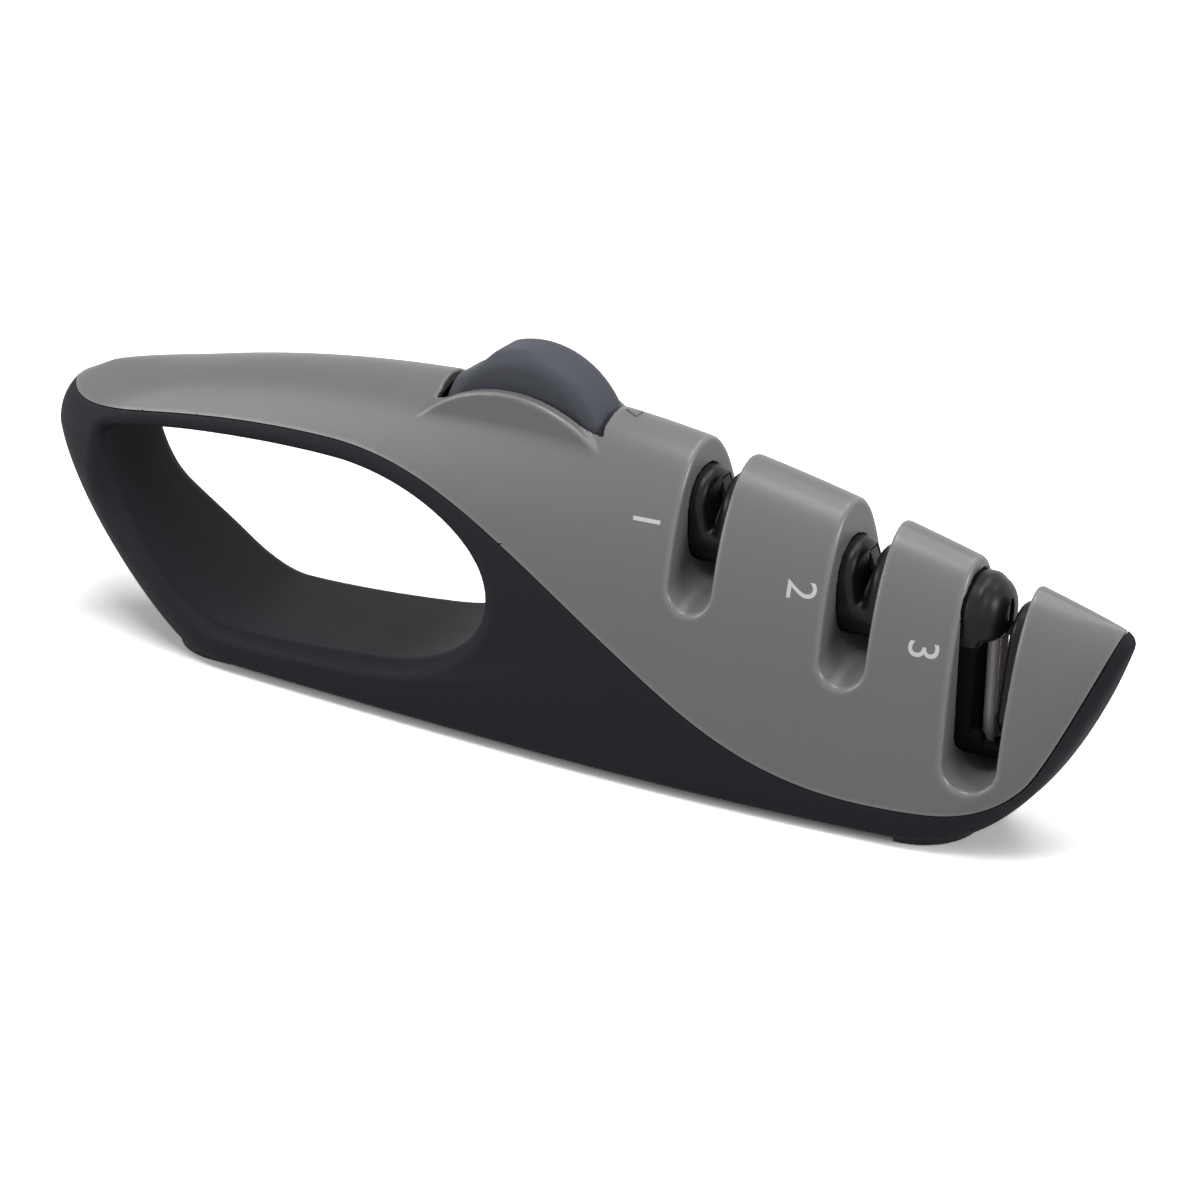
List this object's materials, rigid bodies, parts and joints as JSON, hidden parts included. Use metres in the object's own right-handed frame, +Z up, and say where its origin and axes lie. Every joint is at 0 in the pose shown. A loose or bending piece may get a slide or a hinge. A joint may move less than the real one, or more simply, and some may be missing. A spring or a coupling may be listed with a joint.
{
  "type": "pull through knife sharpener",
  "caption": "Hand held pull through sharpener with a closed loop grip, knife and scissor slots in a grey shell over a dark base, and a thumb dial that sets the edge angle.",
  "frame": {"origin": "on the table under the middle of the body, at the foot of the rubber pads", "axes": "+X points to the nose, +Z up, Y across the body"},
  "size_m": [0.2498, 0.039, 0.0818],
  "materials": {
    "grey_plastic": "satin moulded grey shell",
    "dark_plastic": "soft touch charcoal",
    "slate_plastic": "satin slate dial",
    "black_plastic": "smooth black insert",
    "rubber": "matt rubber",
    "steel": "plain steel",
    "abrasive": "steel plate with fine abrasive grains",
    "ceramic": "fine ceramic rod"
  },
  "bodies": {
    "housing": {"base_body": "dark_plastic", "upper_shell": "grey_plastic", "bottom_cover": "dark_plastic", "cover_screws": "steel", "front_foot": "rubber", "rear_foot": "rubber", "dial_axle": "steel", "detent_spring": "steel", "coarse_cartridge": "black_plastic", "coarse_pivot": "steel", "fine_cartridge": "black_plastic", "fine_pivot": "steel", "fine_spring_left": "steel", "fine_spring_right": "steel", "scissor_cartridge": "black_plastic", "scissor_bridge": "black_plastic", "scissor_rods": "ceramic", "nose_guard": "black_plastic"},
    "dial": {"angle_dial": "slate_plastic"},
    "slider": {"cam_slider": "steel"},
    "coarse_left_jaw": {"coarse_arm_left": "black_plastic", "coarse_plate_left": "abrasive"},
    "coarse_right_jaw": {"coarse_arm_right": "black_plastic", "coarse_plate_right": "abrasive"},
    "fine_left_jaw": {"fine_arm_left": "black_plastic", "fine_plate_left": "abrasive"},
    "fine_right_jaw": {"fine_arm_right": "black_plastic", "fine_plate_right": "abrasive"}
  },
  "joints": [
    {"name": "dial_turn", "type": "hinge", "parent": "housing", "child": "dial", "pos_m": [-0.0025, 0, 0.0618], "axis": [0, 1, 0], "range_deg": [-20, 20]},
    {"name": "slider_move", "type": "slide", "parent": "housing", "child": "slider", "axis": [1, 0, 0], "range_m": [-0.002, 0.002]},
    {"name": "coarse_left_turn", "type": "hinge", "parent": "housing", "child": "coarse_left_jaw", "pos_m": [0.0408, 0, 0.05033], "axis": [0, 1, 0], "range_deg": [-5.2, 5.2]},
    {"name": "coarse_right_turn", "type": "hinge", "parent": "housing", "child": "coarse_right_jaw", "pos_m": [0.0408, 0, 0.05033], "axis": [0, 1, 0], "range_deg": [-5.2, 5.2]},
    {"name": "fine_left_turn", "type": "hinge", "parent": "housing", "child": "fine_left_jaw", "pos_m": [0.0727, 0, 0.04225], "axis": [0, 1, 0], "range_deg": [0, 5], "stiffness_Nm_per_rad": 0.002, "springref_deg": -2.86, "deforming": ["fine_spring_left"]},
    {"name": "fine_right_turn", "type": "hinge", "parent": "housing", "child": "fine_right_jaw", "pos_m": [0.0727, 0, 0.04225], "axis": [0, 1, 0], "range_deg": [-5, 0], "stiffness_Nm_per_rad": 0.002, "springref_deg": 2.86, "deforming": ["fine_spring_right"]}
  ],
  "couplings": [
    {"joint": "slider_move", "follows": "dial_turn", "m_per_rad": -0.00556},
    {"joint": "coarse_left_turn", "follows": "dial_turn", "ratio": 0.25},
    {"joint": "coarse_right_turn", "follows": "dial_turn", "ratio": -0.25}
  ]
}
